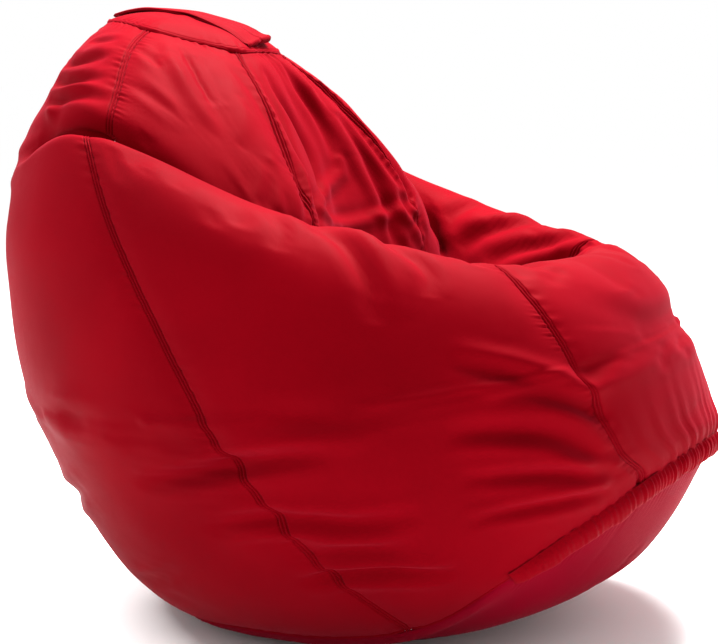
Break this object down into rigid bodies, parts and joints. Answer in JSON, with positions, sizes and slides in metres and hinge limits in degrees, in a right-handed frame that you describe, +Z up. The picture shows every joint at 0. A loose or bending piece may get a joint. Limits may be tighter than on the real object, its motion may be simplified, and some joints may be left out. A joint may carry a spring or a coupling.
{
  "type": "bean bag chair",
  "caption": "Pear-shaped bean bag chair of gored cloth panels with a hexagonal top cap, a flap-covered zip along the base seam and a folded carry handle.",
  "frame": {"origin": "on the floor, at the middle of the chair's outline seen from above", "axes": "+Z up; the seat faces -Y; +X is the sitter's left"},
  "size_m": [0.9134, 0.9682, 0.8337],
  "materials": {
    "red_oxford_cloth": "woven polyester with a soft sheen",
    "white_liner_cloth": "plain woven lining",
    "foam_beads": "loose expanded foam beads",
    "zip_tape_cloth": "woven zip tape",
    "zip_coil_nylon": "moulded coil",
    "zip_metal": "crimped metal",
    "zip_enamel": "enamelled die casting"
  },
  "bodies": {
    "bag": {"cover_gore_front": "red_oxford_cloth", "cover_gore_near_front": "red_oxford_cloth", "cover_gore_near_back": "red_oxford_cloth", "cover_gore_back": "red_oxford_cloth", "cover_gore_far_back": "red_oxford_cloth", "cover_gore_far_front": "red_oxford_cloth", "cover_base_panel": "red_oxford_cloth", "cover_top_cap": "red_oxford_cloth", "liner_gore_front": "white_liner_cloth", "liner_gore_near_front": "white_liner_cloth", "liner_gore_near_back": "white_liner_cloth", "liner_gore_back": "white_liner_cloth", "liner_gore_far_back": "white_liner_cloth", "liner_gore_far_front": "white_liner_cloth", "liner_base_panel": "white_liner_cloth", "liner_top_cap": "white_liner_cloth", "bead_fill": "foam_beads", "zip_tape_upper": "zip_tape_cloth", "zip_tape_lower": "zip_tape_cloth", "zip_coil_upper": "zip_coil_nylon", "zip_coil_lower": "zip_coil_nylon", "zip_stop_near": "zip_metal", "zip_stop_far": "zip_metal", "zip_flap": "red_oxford_cloth"},
    "slider": {"zip_slider_body": "zip_enamel"},
    "pull": {"zip_pull_tab": "zip_enamel"},
    "handle": {"carry_handle": "red_oxford_cloth"}
  },
  "joints": [
    {"name": "zip_travel", "type": "hinge", "parent": "bag", "child": "slider", "pos_m": [0, -0.22, 0.06], "axis": [0, 0.6157, 0.788], "range_deg": [-115, 0]},
    {"name": "pull_swing", "type": "hinge", "parent": "slider", "child": "pull", "pos_m": [0.27915, -0.36121, 0.16811], "axis": [0.7348, -0.0666, 0.675], "range_deg": [0, 11]},
    {"name": "handle_lift", "type": "hinge", "parent": "bag", "child": "handle", "pos_m": [0, 0.35647, 0.82078], "axis": [-1, 0, 0], "range_deg": [0, 115]}
  ]
}
